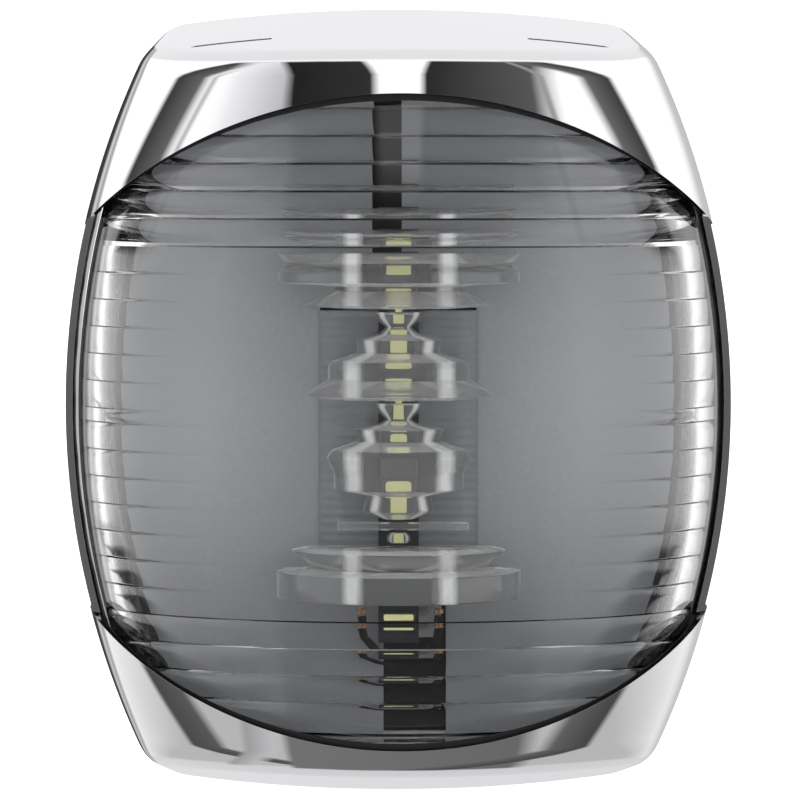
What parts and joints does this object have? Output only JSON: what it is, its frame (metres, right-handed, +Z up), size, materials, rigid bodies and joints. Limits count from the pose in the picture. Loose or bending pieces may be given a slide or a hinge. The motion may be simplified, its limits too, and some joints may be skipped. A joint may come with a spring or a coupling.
{
  "type": "navigation light",
  "caption": "Compact boat navigation light: polished steel cover with a wide arched window over a clear ribbed lens, grey sector screens, and a column of turned clear optics in front of LEDs.",
  "frame": {"origin": "centre of the flat back, on the plane that rests on the boat", "axes": "+Z up along the light's height, +Y out of the back into the mounting face, so the light shines towards -Y; +X is the viewer's right"},
  "size_m": [0.076, 0.0524, 0.0912],
  "materials": {
    "polished_steel": "mirror-polished stainless steel",
    "clear_lens": "clear acrylic with fine level ribs on its inside",
    "clear_optic": "clear turned acrylic",
    "black_rubber": "matt black",
    "black_plastic": "moulded black",
    "pale_plastic": "moulded pale grey",
    "grey_plastic": "fine matt mid grey",
    "holder_grey": "matt dark grey",
    "board_black": "black solder mask",
    "phosphor_yellow": "unlit pale yellow",
    "ceramic_black": "black chip bodies",
    "brass": "soldered copper-coloured posts",
    "zinc_steel": "zinc-plated"
  },
  "bodies": {
    "base": {"lens": "clear_lens", "upper_window_seal": "black_rubber", "lower_window_seal": "black_rubber", "rim_seal": "black_rubber", "base_body": "black_plastic", "cable_grommet": "black_rubber", "inner_frame": "pale_plastic", "left_screen": "grey_plastic", "right_screen": "grey_plastic", "board_holder": "holder_grey", "led_board": "board_black", "led_1": "phosphor_yellow", "led_2": "phosphor_yellow", "led_3": "phosphor_yellow", "led_4": "phosphor_yellow", "led_5": "phosphor_yellow", "led_pilot": "phosphor_yellow", "led_bottom": "phosphor_yellow", "upper_ring_optic": "clear_optic", "middle_optic": "clear_optic", "waist_optic": "clear_optic", "pilot_optic": "clear_optic", "lower_ring_optic": "clear_optic", "link_bar": "clear_optic", "resistor_upper": "ceramic_black", "resistor_lower": "ceramic_black", "diode": "ceramic_black", "holder_screw_left": "zinc_steel", "holder_screw_right": "zinc_steel", "lead_post_left": "brass", "lead_post_right": "brass", "terminal_block": "pale_plastic", "terminal_screw_left": "zinc_steel", "terminal_screw_right": "zinc_steel", "inner_lead_left": "black_rubber", "inner_lead_right": "black_rubber"},
    "cover": {"front_cover": "polished_steel"}
  },
  "joints": [
    {"name": "cover_pull", "type": "slide", "parent": "base", "child": "cover", "axis": [0, -1, 0], "range_m": [0, 0.06]}
  ]
}
